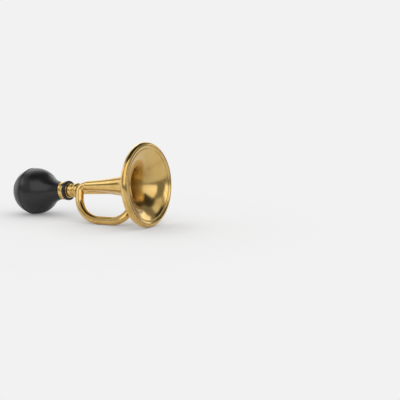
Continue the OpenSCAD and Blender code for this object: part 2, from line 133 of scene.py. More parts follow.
@dataclass(frozen=True)
class TubeSizes:
    """The folded tube and the corners that it runs between, in millimetres.

    Attributes:
        diameter: outside diameter of the tube.
        wall: wall of the tube.
        bend_tail: bend radius where the flare turns down into the fold.
        bend_left: bend radius at the lower corner under the tail.
        bend_right: bend radius at the lower corner under the bell.
        bend_back: bend radius behind the bell, where the tube turns back.
        bend_sweep: bend radius of the lead pipe's slight sweep clear of the flare.
        fold_back: from the rim back to the corner where the flare turns down.
        fold_low_back: from the rim back to the lower corner under the tail.
        fold_front: from the rim back to the upper corner behind the bell.
        fold_low_front: from the rim back to the lower corner under the bell.
        fold_low_side: sideways place of the lower corner under the bell.
        fold_lean: how far the lower corner under the tail leans to the other side.
        fold_top_side: sideways place of the upper corner behind the bell.
        fold_top_drop: depth of that corner below the bell's axis.
        lead_side: sideways distance from the bell's axis to the bulb's axis.
        lead_drop: depth of the bulb's axis below the bell's axis.
        sweep_back: from the rim back to where the lead pipe begins its sweep.
    """

    diameter: float = 9.0
    wall: float = 1.0
    bend_tail: float = 7.0
    bend_left: float = 30.0
    bend_right: float = 18.0
    bend_back: float = 10.5
    bend_sweep: float = 40.0
    fold_back: float = 89.0
    fold_low_back: float = 81.0
    fold_front: float = 26.0
    fold_low_front: float = 24.5
    fold_low_side: float = 5.0
    fold_lean: float = 4.5
    fold_top_side: float = 16.0
    fold_top_drop: float = 6.0
    lead_side: float = 12.0
    lead_drop: float = 2.5
    sweep_back: float = 56.0

    @property
    def radius(self) -> float:
        """Outside radius of the tube."""
        return self.diameter / 2

    @property
    def bore_r(self) -> float:
        """Radius of the tube's bore."""
        return self.radius - self.wall

    @property
    def seat_r(self) -> float:
        """Radius of a hole that takes the tube."""
        return self.radius + FIT


@dataclass(frozen=True)
class CollarSizes:
    """The bead, the socket and the nut on the bulb's axis, in millimetres.

    Attributes:
        back: from the rim back to the bell side of the bead.
        bead_len: length of the bead.
        bead_d: diameter of the bead.
        bead_wall: wall of the hollow bead.
        tail_wall: wall of the socket's tail inside the bead.
        groove_len: length of the groove beside the bead.
        groove_d: diameter at the bottom of the groove.
        neck_len: length of the plain neck.
        neck_d: diameter of the plain neck.
        thread_d: diameter of the socket's thread.
        thread_short: how far the thread stops short of the nut's bell side.
        edge: how far the socket's edges are eased, and its tail stops short of the bead's end.
        nut_len: length of the nut.
        nut_d: diameter of the nut.
        nut_lip: thickness of the nut's inner lip.
        nut_edge: how far the nut's edges are eased.
        washer: thickness of the sealing washer.
        flange: thickness of the stem's flange.
        axial_gap: gap between a turning face and a still one.
        reed_bore_d: diameter of the bore that takes the reed block.
        block_len: length of the reed block.
    """

    back: float = 98.5
    bead_len: float = 6.0
    bead_d: float = 17.0
    bead_wall: float = 0.7
    tail_wall: float = 0.9
    groove_len: float = 2.0
    groove_d: float = 13.6
    neck_len: float = 5.5
    neck_d: float = 15.5
    thread_d: float = 17.0
    thread_short: float = 0.4
    edge: float = 0.4
    nut_len: float = 4.5
    nut_d: float = 22.0
    nut_lip: float = 0.7
    nut_edge: float = 0.8
    washer: float = 0.5
    flange: float = 0.7
    axial_gap: float = 0.1
    reed_bore_d: float = 12.8
    block_len: float = 6.8

    @property
    def bead_x(self) -> float:
        """Place of the bead's bulb side."""
        return -self.back - self.bead_len

    @property
    def groove_x(self) -> float:
        """Place of the groove's bulb side."""
        return self.bead_x - self.groove_len

    @property
    def pipe_end_x(self) -> float:
        """Place of the lead pipe's end, inside the groove."""
        return self.groove_x + (self.groove_len - 1) / 2

    @property
    def nut_x(self) -> float:
        """Place of the nut's bell side."""
        return self.groove_x - self.neck_len

    @property
    def nut_back_x(self) -> float:
        """Place of the nut's bulb side."""
        return self.nut_x - self.nut_len

    @property
    def mouth_x(self) -> float:
        """Place of the socket's mouth, over the washer and the stem's flange in the nut."""
        return self.nut_back_x + self.nut_lip + 1.5 * self.axial_gap + self.flange + self.washer


@dataclass(frozen=True)
class BulbSizes:
    """The rubber bulb, its ferrule and its stem, in millimetres.

    Attributes:
        diameter: diameter of the bulb.
        wall: wall of the rubber.
        behind: from the ferrule back to the middle of the bulb.
        seam_behind: from that middle back to the moulding seam.
        seam_d: thickness of the raised seam.
        seam_proud: how far the seam stands proud of the bulb.
        neck_curve: radius of the hollow curve between the bulb and its neck.
        neck_d: diameter of the rubber where it meets the ferrule.
        neck_short: how far the neck's end stops short of the ferrule's.
        ferrule_len: length of the crimped ferrule.
        ferrule_d: largest diameter of the ferrule.
        ferrule_wall: wall of the ferrule at its ends.
        stem_d: outside diameter of the stem inside the neck.
        stem_reach: how far the stem reaches into the bulb behind the ferrule.
    """

    diameter: float = 53.0
    wall: float = 3.0
    behind: float = 38.0
    seam_behind: float = 3.5
    seam_d: float = 1.2
    seam_proud: float = 0.25
    neck_curve: float = 40.0
    neck_d: float = 19.4
    neck_short: float = 0.2
    ferrule_len: float = 6.7
    ferrule_d: float = 20.8
    ferrule_wall: float = 0.6
    stem_d: float = 14.0
    stem_reach: float = 8.0

    @property
    def radius(self) -> float:
        """Outside radius of the bulb."""
        return self.diameter / 2

    @property
    def seam_r(self) -> float:
        """Radius of the seam's bead."""
        return self.seam_d / 2

    @property
    def seam_ring_r(self) -> float:
        """Radius of the circle that the seam's centre runs on."""
        return self.radius + self.seam_proud - self.seam_r


@dataclass(frozen=True)
class HornSizes:
    """All the sizes together, and the places that several sub-assemblies share."""

    bell: BellSizes = field(default_factory=BellSizes)
    tube: TubeSizes = field(default_factory=TubeSizes)
    collar: CollarSizes = field(default_factory=CollarSizes)
    bulb: BulbSizes = field(default_factory=BulbSizes)

    @property
    def ferrule_x(self) -> float:
        """Place of the ferrule's bell side."""
        return self.collar.nut_back_x - FREE

    @property
    def ferrule_back_x(self) -> float:
        """Place of the ferrule's bulb side."""
        return self.ferrule_x - self.bulb.ferrule_len

    @property
    def bulb_x(self) -> float:
        """Place of the middle of the bulb."""
        return self.ferrule_back_x - self.bulb.behind

    @property
    def seam_x(self) -> float:
        """Place of the face where the two halves of the bulb meet."""
        return self.bulb_x - self.bulb.seam_behind

    @property
    def lead_axis(self) -> Array:
        """Sideways place and height of the bulb's axis."""
        return np.array([self.tube.lead_side, -self.tube.lead_drop])


@dataclass(frozen=True)
class RestPose:
    """How the horn lies on its bell, its folded tube and its bulb.

    Attributes:
        roll: turn about the bell's axis onto the folded tube.
        tilt: rise of the bell's axis towards the mouth.
        mid_x: place on the bell's axis that lies over the origin, in millimetres.
        rim_height: height of the rim's centre over the table, in millimetres.
    """

    roll: float
    tilt: float
    mid_x: float
    rim_height: float

    @classmethod
    def of(cls, sizes: HornSizes, roll: float = math.radians(17.5)) -> RestPose:
        """Solve the tilt at which the rim's roll and the bulb's seam both touch the table.

        The lowest point of each ring lies at its centre's height, less its ring radius times
        the cosine of the tilt, less its bead's radius; both heights are set to nought.

        Args:
            sizes: the horn's sizes.
            roll: the turn about the bell's axis.

        Returns:
            The pose.
        """
        bell, bulb, tube = sizes.bell, sizes.bulb, sizes.tube
        low = tube.lead_side * math.sin(roll) + tube.lead_drop * math.cos(roll)
        seam_ring_x = sizes.seam_x - FIT - bulb.seam_r
        lean = bell.ring_r - low - bulb.seam_ring_r
        rise = bulb.seam_r - bell.roll_r
        tilt = math.atan2(seam_ring_x, lean) + math.acos(rise / math.hypot(lean, seam_ring_x))
        front = bell.ring_r * math.sin(tilt) + bell.roll_r
        rear = sizes.bulb_x * math.cos(tilt) + low * math.sin(tilt) - bulb.radius
        return cls(roll, tilt, (front + rear) / 2, bell.ring_r * math.cos(tilt) + bell.roll_r)

    def place(self, points: Array) -> Array:
        """Turn points by the roll and the tilt, lift them onto the table and give metres.

        Args:
            points: places in the horn's own frame, in millimetres, shaped (..., 3).

        Returns:
            The same places in the row's frame, in metres.
        """
        x, y, z = np.moveaxis(np.asarray(points, float), -1, 0)
        side = y * math.cos(self.roll) + z * math.sin(self.roll)
        up = z * math.cos(self.roll) - y * math.sin(self.roll)
        ct, st = math.cos(self.tilt), math.sin(self.tilt)
        laid = [x * ct - up * st - self.mid_x, side, x * st + up * ct + self.rim_height]
        return np.stack(laid, axis=-1) * MM

    def table_z(self, x: float, y: float, radius: float) -> float:
        """Height in the horn's frame at which a tube of this radius lies on the table."""
        drop = (radius - self.rim_height - x * math.sin(self.tilt)) / math.cos(self.tilt)
        return (drop + y * math.sin(self.roll)) / math.cos(self.roll)


# Surfaces


def unit(v: Array) -> Array:
    """The vector with length one."""
    return v / np.linalg.norm(v)


def arc(radius: float, start: float, end: float, count: int) -> Array:
    """Points (radius cos a, radius sin a), with a from start to end in radians."""
    a = np.linspace(start, end, count)
    return radius * np.stack([np.cos(a), np.sin(a)], -1)


def rounded(profile: Array, radius: float, steps: int = 5) -> Array:
    """Round every corner of a closed profile.

    Each corner p is replaced by the quadratic curve (1-t)^2 a + 2 t (1-t) p + t^2 b, where a
    and b lie `radius` from p on its two sides, or at a third of a shorter side.

    Args:
        profile: corners, shaped (n, 2).
        radius: how far from the corner the curve starts.
        steps: pieces of each curve.

    Returns:
        The rounded profile, shaped (n * (steps + 1), 2).
    """
    back = np.roll(profile, 1, axis=0) - profile
    fore = np.roll(profile, -1, axis=0) - profile
    len_back = np.linalg.norm(back, axis=1, keepdims=True)
    len_fore = np.linalg.norm(fore, axis=1, keepdims=True)
    a = profile + back / len_back * np.minimum(radius, len_back / 3)
    b = profile + fore / len_fore * np.minimum(radius, len_fore / 3)
    t = np.linspace(0, 1, steps + 1)[None, :, None]
    curve = (1 - t) ** 2 * a[:, None] + 2 * t * (1 - t) * profile[:, None] + t**2 * b[:, None]
    return curve.reshape(-1, 2)


def refined(profile: Array, longest: float) -> Array:
    """Split the long sides of a closed profile into equal parts.

    Args:
        profile: corners, shaped (n, 2).
        longest: longest side that is left.

    Returns:
        The profile with the new points between its corners, shaped (m, 2).
    """
    after = np.roll(profile, -1, axis=0)
    parts = np.ceil(np.linalg.norm(after - profile, axis=1) / longest).astype(int)
    parts = np.maximum(parts, 1)
    start = np.repeat(np.arange(len(profile)), parts)
    step = np.concatenate([np.arange(n) / n for n in parts])[:, None]
    return profile[start] * (1 - step) + after[start] * step


def turned(profile: Array, axis: Array, sides: int) -> Array:
    """Rings of a profile turned round an axis along X.

    The point at (i, j) is (x_i, y + r_i sin a_j, z + r_i cos a_j) with a_j = 2 pi j / sides.

    Args:
        profile: points of (x, radius), shaped (n, 2).
        axis: sideways place and height of the axis.
        sides: points in each ring.

    Returns:
        The rings, shaped (n, sides, 3).
    """
    angle = np.arange(sides) * 2 * math.pi / sides
    x = np.broadcast_to(profile[:, :1], (len(profile), sides))
    y = axis[0] + profile[:, 1:] * np.sin(angle)
    z = axis[1] + profile[:, 1:] * np.cos(angle)
    return np.stack([x, y, z], axis=-1)


def hollow_tube(line: Line, outer: float, inner: float, sides: int) -> Array:
    """Rings of a hollow tube: out along its outside and back along its bore.

    The point at (i, j) is place_i + r_i (cos a_j s_i + sin a_j t_i), where s_i is square to
    the way there and to Y, and t_i is square to both.

    Args:
        line: the stations on the tube's middle.
        outer: outside radius.
        inner: radius of the bore.
        sides: points in each ring.

    Returns:
        The rings, shaped (2 n, sides, 3).
    """
    places, ways = (np.vstack([part, part[::-1]]) for part in line)
    radii = np.repeat([outer, inner], len(line[0]))
    s = np.cross(ways, [0.0, 1.0, 0.0])
    s /= np.linalg.norm(s, axis=1, keepdims=True)
    t = np.cross(ways, s)
    angle = np.arange(sides)[None, :, None] * 2 * math.pi / sides
    spoke = np.cos(angle) * s[:, None] + np.sin(angle) * t[:, None]
    return places[:, None] + radii[:, None, None] * spoke


def station(place: Array, way: Array) -> Line:
    """A line of one station."""
    return np.array([place], float), np.array([unit(way)], float)


def joined(*lines: Line) -> Line:
    """Several lines of stations, one after another."""
    return np.vstack([line[0] for line in lines]), np.vstack([line[1] for line in lines])


def bend_line(a: Array, b: Array, c: Array, radius: float, step: float) -> Line:
    """Stations round the bend at b between the legs a-b and b-c.

    With m the bend's centre, u from m to its start and v the first leg's way, the station at
    the turn t is m + radius (u cos t + v sin t), and the line runs there along v cos t - u sin t.

    Args:
        a: corner before.
        b: the corner that is rounded.
        c: corner after.
        radius: bend radius.
        step: largest turn between stations, in radians.

    Returns:
        The stations.
    """
    v, w = unit(b - a), unit(c - b)
    turn = math.acos(float(np.clip(v @ w, -1, 1)))
    start = b - v * radius * math.tan(turn / 2)
    inward = unit(w - v * (v @ w))
    centre = start + inward * radius
    t = np.linspace(0, turn, int(math.ceil(turn / step)) + 1)[:, None]
    places = centre + radius * (-inward * np.cos(t) + v * np.sin(t))
    return places, v * np.cos(t) + inward * np.sin(t)


def skin(name: str, rings: Array, pose: RestPose, capped: bool, sharp: float) -> bpy.types.Object:
    """Make a closed mesh from rings of points.

    Face (i, j) joins rings i and i + 1 and sides j and j + 1. The rings close on themselves,
    unless they are capped: then the first and the last are drawn to a point. The UV map
    holds the turn round the ring and the distance along the rings in millimetres. Faces are
    turned outwards by the sign of the volume that they enclose.

    Args:
        name: the object's name.
        rings: points in the horn's frame, shaped (n, sides, 3).
        pose: lays the points on the table.
        capped: whether the ends are drawn to a point.
        sharp: edges over this angle, in degrees, stay crisp.

    Returns:
        The object, at the origin, with its place in its mesh.
    """
    count, sides = rings.shape[:2]
    points = rings.reshape(-1, 3)
    i, j = np.arange(count - 1 if capped else count), np.arange(sides)
    here, there = i[:, None] * sides, ((i + 1) % count)[:, None] * sides
    side, after = j[None, :], (j[None, :] + 1) % sides
    quads = np.stack([here + side, here + after, there + after, there + side], -1).reshape(-1, 4)
    gap = np.linalg.norm(np.roll(rings, -1, axis=0) - rings, axis=-1).mean(axis=1)
    along = np.concatenate([[0.0], np.cumsum(gap)])
    u0 = np.broadcast_to(side / sides, (len(i), sides))
    u1 = u0 + 1 / sides
    v0, v1 = (np.broadcast_to(along[k][:, None], u0.shape) for k in (i, i + 1))
    uv = np.stack([u0, v0, u1, v0, u1, v1, u0, v1], -1).reshape(-1, 4, 2)
    tips = np.empty((0, 3), int)
    if capped:
        first, last = len(points), (count - 1) * sides
        points = np.vstack([points, rings[0].mean(axis=0), rings[-1].mean(axis=0)])
        tips = np.vstack([
            np.stack([np.full(sides, first), (j + 1) % sides, j], -1),
            np.stack([np.full(sides, first + 1), last + j, last + (j + 1) % sides], -1)])
    a, b, c = np.moveaxis(points[np.vstack([quads[:, :3], quads[:, [0, 2, 3]], tips])], 1, 0)
    if np.einsum("ij,ij->", a, np.cross(b, c)) < 0:
        quads, uv, tips = quads[:, ::-1], uv[:, ::-1], tips[:, ::-1]
    mesh = bpy.data.meshes.new(name)
    mesh.from_pydata(pose.place(points).tolist(), [], quads.tolist() + tips.tolist())
    mesh.uv_layers.new(name="around_along").data.foreach_set(
        "uv", np.concatenate([uv.reshape(-1), np.zeros(len(tips) * 6)]))
    mesh.shade_smooth()
    mesh.set_sharp_from_angle(angle=math.radians(sharp))
    mesh.validate()
    obj = bpy.data.objects.new(name, mesh)
    bpy.context.scene.collection.objects.link(obj)
    return obj


# Finishes


def linear(hex_colour: str) -> Colour:
    """Turn an sRGB hex colour to linear light, by the sRGB curve.

    Args:
        hex_colour: the colour, such as "#C9A458".

    Returns:
        The colour in linear light.
    """
    value = np.array([int(hex_colour[k:k + 2], 16) for k in (1, 3, 5)]) / 255
    light = np.where(value <= 0.04045, value / 12.92, ((value + 0.055) / 1.055) ** 2.4)
    return (*(float(v) for v in light), 1.0)


def grey(light: float) -> Colour:
    """A plain grey of this light, which may be brighter than white."""
    return (light, light, light, 1.0)


def add_node(tree: bpy.types.NodeTree, kind: str, settings: dict | None = None,
             inputs: dict | None = None) -> bpy.types.Node:
    """Add a node, set it, and give its inputs their values or links.

    Args:
        tree: the node tree.
        kind: the node's type name.
        settings: attributes of the node.
        inputs: socket name or number to a value, or to the output socket to link from.

    Returns:
        The node.
    """
    node = tree.nodes.new(kind)
    for key, value in (settings or {}).items():
        setattr(node, key, value)
    for key, value in (inputs or {}).items():
        if isinstance(value, bpy.types.NodeSocket):
            tree.links.new(value, node.inputs[key])
        else:
            node.inputs[key].default_value = value
    return node


def new_material(name: str, sockets: dict[str, float]) -> tuple[
        bpy.types.Material, bpy.types.NodeTree, bpy.types.Node]:
    """Make a material with a Principled shader and nothing else.

    Args:
        name: the material's name.
        sockets: the shader's sockets that are the same all over, and their values.

    Returns:
        The material, its node tree and the shader.
    """
    material = bpy.data.materials.new(name)
    material.use_nodes = True
    tree = material.node_tree
    tree.nodes.clear()
    shader = add_node(tree, "ShaderNodeBsdfPrincipled", inputs=sockets)
    add_node(tree, "ShaderNodeOutputMaterial", inputs={"Surface": shader.outputs[0]})
    return material, tree, shader


@dataclass(frozen=True)
class MetalFinish:
    """Metal, spun, turned, drawn or rolled, and then buffed and lacquered or left raw.

    Buffing leaves a warm mirror with a soft edge; the lacquer ages in faint clouds, and
    spinning leaves fine rings that follow the form.

    Attributes:
        name: the material's name.
        colour: the metal's own colour, yellow brass unless another is given.
        aged: its colour where the lacquer has clouded.
        dull_and_shaded: its colour where it is still as it was spun, darker than the buffed
            colour as painted shade in that deep part.
        rough: roughness of the buffed metal.
        rough_aged: roughness where the lacquer has clouded.
        rough_dull: roughness where it is still as it was spun.
        ring_pitch: distance between the spinning rings, in millimetres, or 0 for none. The
            real ones lie about 0.2 mm apart and are drawn coarser so that they show.
        ring_height: height of the rings, in millimetres.
        cloud: size of the clouds, in millimetres.
        smear: size of the faint smears from handling, in millimetres.
        wave: length of the slow waves that the buffing leaves, in millimetres.
        waviness: height of those waves, in millimetres.
        unbuffed_and_shaded: how far along the piece, in millimetres, the metal is still as it
        was spun, because the buffing wheel doesn't reach there, and its colour is darkened
        there as painted shade, or 0 for none.
        lacquer: how much clear lacquer lies over the metal, from 0 to 1.
        rough_lacquer: roughness of the lacquer.
    """

    name: str
    colour: str = "#E9C476"
    aged: str = "#D9AE5E"
    dull_and_shaded: str = "#CBAC6A"
    rough: float = 0.13
    rough_aged: float = 0.18
    rough_dull: float = 0.36
    ring_pitch: float = 0.9
    ring_height: float = 0.001
    cloud: float = 14.0
    smear: float = 2.5
    wave: float = 11.0
    waviness: float = 0.01
    unbuffed_and_shaded: float = 0.0
    lacquer: float = 0.6
    rough_lacquer: float = 0.08

    def build(self) -> bpy.types.Material:
        """Make the material: clouded colour, smeared roughness, and waves under the rings.

        Returns:
            The material.
        """
        material, tree, shader = new_material(self.name, {
            "Metallic": 1.0, "Coat Weight": self.lacquer, "Coat Roughness": self.rough_lacquer})
        place = add_node(tree, "ShaderNodeTexCoord").outputs["Object"]
        clouds = add_node(tree, "ShaderNodeTexNoise", inputs={
            "Vector": place, "Scale": 1 / (self.cloud * MM), "Detail": 4.0, "Roughness": 0.55})
        wear = add_node(tree, "ShaderNodeMapRange", SMOOTH_STEP, {
            0: clouds.outputs["Fac"], 1: 0.42, 2: 0.7}).outputs[0]
        colour = add_node(tree, "ShaderNodeMix", OF_COLOURS, {
            0: wear, 6: linear(self.colour), 7: linear(self.aged)}).outputs[2]
        smears = add_node(tree, "ShaderNodeTexNoise", inputs={
            "Vector": place, "Scale": 1 / (self.smear * MM), "Detail": 5.0})
        clouded = add_node(tree, "ShaderNodeMapRange", inputs={
            0: wear, 3: self.rough, 4: self.rough_aged})
        handled = add_node(tree, "ShaderNodeMapRange", inputs={
            0: smears.outputs["Fac"], 1: 0.3, 2: 0.7, 3: 0.92, 4: 1.1})
        rough = add_node(tree, "ShaderNodeMath", {"operation": "MULTIPLY"}, {
            0: clouded.outputs[0], 1: handled.outputs[0]}).outputs[0]
        waves = add_node(tree, "ShaderNodeTexNoise", inputs={
            "Vector": place, "Scale": 1 / (self.wave * MM), "Detail": 1.0})
        normal = add_node(tree, "ShaderNodeBump", inputs={
            "Strength": 1.0, "Distance": self.waviness * MM,
            "Height": waves.outputs["Fac"]}).outputs[0]
        if self.ring_pitch or self.unbuffed_and_shaded:
            chart = add_node(tree, "ShaderNodeUVMap", {"uv_map": "around_along"})
            along = add_node(tree, "ShaderNodeSeparateXYZ", inputs={
                0: chart.outputs[0]}).outputs["Y"]
        if self.ring_pitch:
            rings = add_node(tree, "ShaderNodeTexNoise", {"noise_dimensions": "1D"}, {
                "W": along, "Scale": 1 / self.ring_pitch, "Detail": 3.0})
            normal = add_node(tree, "ShaderNodeBump", inputs={
                "Strength": 1.0, "Distance": self.ring_height * MM,
                "Height": rings.outputs["Fac"], "Normal": normal}).outputs[0]
        if self.unbuffed_and_shaded:
            # The buffing comes in over the last two fifths of that length
            buffed = add_node(tree, "ShaderNodeMapRange", SMOOTH_STEP, {
                0: along, 1: 0.6 * self.unbuffed_and_shaded, 2: self.unbuffed_and_shaded}).outputs[0]
            rough = add_node(tree, "ShaderNodeMapRange", inputs={
                0: buffed, 3: self.rough_dull, 4: rough}).outputs[0]
            # There the colour is darker too: painted shade deep inside the piece, over the duller
            # metal
            colour = add_node(tree, "ShaderNodeMix", OF_COLOURS, {
                0: buffed, 6: linear(self.dull_and_shaded), 7: colour}).outputs[2]
        tree.links.new(colour, shader.inputs["Base Color"])
        tree.links.new(rough, shader.inputs["Roughness"])
        tree.links.new(normal, shader.inputs["Normal"])
        return material


@dataclass(frozen=True)
class MouldedFinish:
    """Moulded rubber or plastic with a fine even grain and a little bloom.

    Attributes:
        name: the material's name.
        colour: the body's colour.
        bloom: the paler colour that comes up on handled places.
        rough: roughness of the clean surface.
        rough_bloom: roughness under the bloom.
        grain_height: height of the mould's grain, in millimetres.
        grain: size of the grain, in millimetres, drawn coarser than the real one.
        patch: size of the patches of bloom, in millimetres.
    """

    name: str
    colour: str
    bloom: str
    rough: float
    rough_bloom: float
    grain_height: float
    grain: float = 0.5
    patch: float = 16.0

    def build(self) -> bpy.types.Material:
        """Make the material: patches of bloom in colour and roughness, and the grain.

        Returns:
            The material.
        """
        material, tree, shader = new_material(self.name, {})
        place = add_node(tree, "ShaderNodeTexCoord").outputs["Object"]
        patches = add_node(tree, "ShaderNodeTexNoise", inputs={
            "Vector": place, "Scale": 1 / (self.patch * MM), "Detail": 5.0})
        share = add_node(tree, "ShaderNodeMapRange", SMOOTH_STEP, {
            0: patches.outputs["Fac"], 1: 0.35, 2: 0.75}).outputs[0]
        colour = add_node(tree, "ShaderNodeMix", OF_COLOURS, {
            0: share, 6: linear(self.colour), 7: linear(self.bloom)})
        rough = add_node(tree, "ShaderNodeMapRange", inputs={
            0: share, 3: self.rough, 4: self.rough_bloom})
        grain = add_node(tree, "ShaderNodeTexNoise", inputs={
            "Vector": place, "Scale": 1 / (self.grain * MM), "Detail": 2.0})
        relief = add_node(tree, "ShaderNodeBump", inputs={
            "Strength": 1.0, "Distance": self.grain_height * MM, "Height": grain.outputs["Fac"]})
        tree.links.new(colour.outputs[2], shader.inputs["Base Color"])
        tree.links.new(rough.outputs[0], shader.inputs["Roughness"])
        tree.links.new(relief.outputs[0], shader.inputs["Normal"])
        return material


class Finish(Enum):
    """The finishes on this horn, one for each real process."""

    # Sheet brass spun over a former: faint rings, then a high buff, and dull deep inside, where
    # the colour is also darkened as painted shade
    SPUN = MetalFinish("spun_buffed_brass", waviness=0.003, unbuffed_and_shaded=92)
    # Brass tube drawn and bent: a high buff with no rings, but slow waves from the work
    DRAWN = MetalFinish("drawn_brass_tube", ring_pitch=0, rough=0.12)
    # Brass turned on a lathe: tighter and finer rings, and a softer shine
    LATHE = MetalFinish("turned_brass", rough=0.2, rough_aged=0.24, ring_pitch=0.5,
                        ring_height=0.0005, waviness=0.001)
    # Brass that isn't buffed, inside the horn: duller and browner
    INNER = MetalFinish("raw_turned_brass", colour="#B48A45", aged="#8A6530", rough=0.3,
                        rough_aged=0.45, ring_pitch=0, lacquer=0.0)
    # Rolled spring brass of the tongue: pale, with a dull roller finish
    SPRING = MetalFinish("rolled_spring_brass", colour="#E0C070", aged="#C8A050", rough=0.28,
                         rough_aged=0.36, ring_pitch=0, lacquer=0.0)
    # Drawn steel wire inside the rim: grey and dull
    STEEL = MetalFinish("drawn_steel_wire", colour="#A8A8A4", aged="#84827C", rough=0.3,
                        rough_aged=0.45, ring_pitch=0, lacquer=0.0)
    # Soft solder, wiped and lacquered with the horn, so that it takes a thin brass tint
    SOLDER = MetalFinish("wiped_soft_solder", colour="#C9B684", aged="#A8935E", rough=0.25,
                         rough_aged=0.4, ring_pitch=0)
    # Natural rubber with carbon black, steam-moulded: satin, with a soft clear reflection
    RUBBER = MouldedFinish("moulded_black_rubber", "#191919", "#1D1D1D", rough=0.25,
                           rough_bloom=0.3, grain_height=0.002)
    # Injection-moulded phenolic plastic: near black, with a shine on its edges
    PLASTIC = MouldedFinish("moulded_black_plastic", "#0E0E0E", "#161616", rough=0.26,
                            rough_bloom=0.34, grain_height=0.004)


# Pieces


@dataclass
class SubAssembly:
    """What each sub-assembly has: the horn's sizes, its pose and its finished materials."""

    sizes: HornSizes
    pose: RestPose
    materials: dict[Finish, bpy.types.Material]

    def dress(self, name: str, rings: Array, body: Body, slot: Slot, finish: Finish, node: str,
              capped: bool = False, sharp: float = 40.0) -> bpy.types.Object:
        """Make a piece, dress it, let it ride on its body and hide the solid that it stands for.

        Args:
            name: the piece's name.
            rings: its points, shaped (n, sides, 3).
            body: the body that it moves with.
            slot: the record's slot for the piece; not used.
            finish: its finish.
            node: the solid that it replaces.
            capped: whether the first and the last ring are drawn to a point.
            sharp: edges over this angle, in degrees, stay crisp.

        Returns:
            The piece.
        """
        piece = skin(name, rings, self.pose, capped, sharp)
        piece.data.materials.append(self.materials[finish])
        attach(piece, body.value)
        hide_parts(node)
        LOG.info("%s: %d faces on %s", name, len(piece.data.polygons), body.value)
        return piece


@dataclass
class Bell(SubAssembly):
    """The spun bell: flare, rolled rim and tail socket.

    Attributes:
        sides: points in each ring.
        flare_steps: points along the flare, up to where they crowd.
        crowd_from: share of the way to the lip at which the points crowd for the groove.
        groove_steps: points from there to the lip.
        roll_steps: pieces of the roll.
    """

    sides: int = 224
    flare_steps: int = 100
    crowd_from: float = 0.94
    groove_steps: int = 44
    roll_steps: int = 56

    def _lip(self) -> tuple[float, float, float]:
        """Find where the flare runs tangent into the roll.

        The flare's inner radius is lip_r m / u, with u measured from a point past the mouth,
        and the roll's angle is repeated until both slopes agree.

        Returns:
            The angle on the roll, the radius there and m, the mouth's distance to that point.
        """
        bell, tail_r = self.sizes.bell, self.sizes.tube.seat_r

        def reach(angle: float) -> tuple[float, float]:
            """The radius and m at this angle on the roll."""
            radius = bell.ring_r - bell.roll_r * math.sin(angle)
            return radius, (bell.length + bell.roll_r * math.cos(angle)) / (radius / tail_r - 1)

        angle = math.radians(15)
        for _ in range(12):
            radius, mouth = reach(angle)
            angle = math.atan(mouth / radius)
        return angle, *reach(angle)

    def profile(self) -> Array:
        """Work out the closed section of the bell's sheet.

        The outer face lies a wall's thickness from the flare, and the groove is pushed into
        the inner one by its depth times exp(-(d / half)^2), with d the distance to its middle.

        Returns:
            Points of (x, radius), shaped (n, 2).
        """
        bell, tail_r = self.sizes.bell, self.sizes.tube.seat_r
        lip_a, lip_r, mouth = self._lip()
        front = bell.roll_r * math.cos(lip_a)
        tail_u = mouth + bell.length + front
        t = np.append(np.linspace(0, self.crowd_from, self.flare_steps, endpoint=False),
                      np.linspace(self.crowd_from, 1, self.groove_steps))
        u = tail_u * (mouth / tail_u) ** t
        radius = lip_r * mouth / u
        slope = np.arctan(radius / u)
        inner = np.stack([front + mouth - u, radius], -1)
        outward = np.stack([-np.sin(slope), np.cos(slope)], -1)
        outer = inner + bell.wall * outward
        from_lip = np.hypot(*(inner - inner[-1]).T)
        groove = np.exp(-((from_lip - bell.groove_in) / bell.groove_half) ** 2)
        inner = inner + bell.groove_depth * groove[:, None] * outward
        roll, roll_back = (
            [0, bell.ring_r] + arc(r, -lip_a, bell.wrap, self.roll_steps + 1)
            for r in (bell.roll_r, bell.roll_r - bell.wall))
        socket_end = -bell.length + bell.socket
        throat = inner[inner[:, 0] > socket_end]
        tail = outer[outer[:, 0] > -bell.length + bell.taper][::-1]
        step_r = lip_r * mouth / (tail_u - bell.socket)
        mouthpiece = [[-bell.length, tail_r], [socket_end, tail_r], [socket_end, step_r]]
        feather = [[-bell.length, tail_r + bell.wall / 4]]
        return np.vstack([mouthpiece, throat, roll[1:], roll_back[::-1][:-1], tail, feather])

    def build(self) -> None:
        """Make the bell."""
        self.dress("spun_bell", turned(self.profile(), np.zeros(2), self.sides), Body.HORN,
                   Slot.BRASS, Finish.SPUN, "bell")


